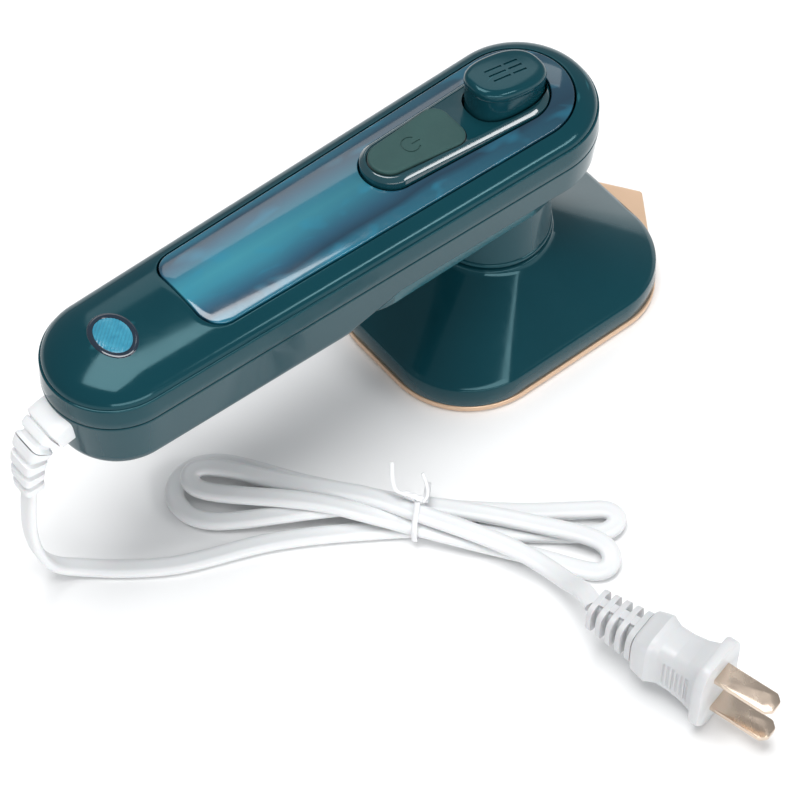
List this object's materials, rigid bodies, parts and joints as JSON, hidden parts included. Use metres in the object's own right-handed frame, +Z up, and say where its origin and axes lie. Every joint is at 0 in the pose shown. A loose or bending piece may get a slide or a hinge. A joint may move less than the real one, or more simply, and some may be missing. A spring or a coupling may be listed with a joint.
{
  "type": "travel steam iron",
  "caption": "Handheld travel steam iron: long handle with a water tank, steam button and power pad on top, swivelling soleplate head below, and a mains cord tied in a hank.",
  "frame": {"origin": "on the head's swivel axis, at the soleplate's bottom face", "axes": "+X along the handle to its front, +Y to the left, +Z up, away from the soleplate"},
  "size_m": [0.2076, 0.1864, 0.0916],
  "materials": {
    "teal_gloss": "high gloss moulded",
    "teal_matte": "fine matte texture",
    "tank_clear": "translucent blue, polished",
    "indicator_cyan": "translucent, ribbed",
    "sole_ceramic": "rose gold ceramic coating",
    "cast_aluminium": "as cast",
    "steel": "bright",
    "pvc_white": "satin moulded",
    "rubber_dark": "matt",
    "circuit_board": "solder mask",
    "phenolic": "matt",
    "nylon": "natural",
    "wire_red": "satin",
    "wire_blue": "satin",
    "blade_metal": "nickel plated"
  },
  "bodies": {
    "handle": {"handle_upper_shell": "teal_gloss", "handle_lower_shell": "teal_gloss", "water_tank": "tank_clear", "control_panel": "teal_gloss", "power_switch": "steel", "control_board": "circuit_board", "pump_body": "nylon", "neck_collar": "teal_gloss", "swivel_washer": "nylon", "water_feed_tube": "nylon", "pump_outlet_tube": "nylon", "wire_live": "wire_red", "wire_neutral": "wire_blue", "indicator_lens": "indicator_cyan", "indicator_board": "circuit_board", "indicator_led": "indicator_cyan", "handle_screw_1": "steel", "handle_screw_2": "steel", "cord_clamp": "nylon", "button_spring": "steel", "cord_relief": "pvc_white", "cord_lead": "pvc_white", "cord_plug_end": "pvc_white", "cord_hank": "pvc_white", "twist_tie": "pvc_white", "plug_body": "pvc_white", "plug_blade_1": "blade_metal", "plug_blade_2": "blade_metal", "plug_relief": "pvc_white"},
    "power_pad": {"power_pad": "teal_matte"},
    "steam_button": {"steam_button": "teal_gloss", "pump_piston": "nylon"},
    "tank_stopper": {"tank_stopper": "rubber_dark"},
    "head": {"swivel_stem": "steel", "swivel_clip": "steel", "soleplate": "sole_ceramic", "heater_block": "cast_aluminium", "steam_chamber_lid": "cast_aluminium", "heating_element": "steel", "heat_shield": "phenolic", "thermostat": "steel", "thermal_fuse": "nylon", "head_cover": "teal_gloss", "head_screw_1": "steel", "head_screw_2": "steel", "head_screw_3": "steel"}
  },
  "joints": [
    {"name": "head_swivel", "type": "hinge", "parent": "handle", "child": "head", "pos_m": [0, 0, 0.033], "axis": [0, 0, 1], "range_deg": [-90, 90]},
    {"name": "steam_button_press", "type": "slide", "parent": "handle", "child": "steam_button", "axis": [0, 0, -1], "range_m": [0, 0.003], "stiffness_N_per_m": 400, "springref_m": -0.003, "deforming": ["button_spring"]},
    {"name": "power_pad_press", "type": "slide", "parent": "handle", "child": "power_pad", "axis": [0, 0, -1], "range_m": [0, 0.0006], "stiffness_N_per_m": 800, "springref_m": -0.001},
    {"name": "tank_stopper_pull", "type": "slide", "parent": "handle", "child": "tank_stopper", "axis": [0, 0, -1], "range_m": [0, 0.009]}
  ]
}
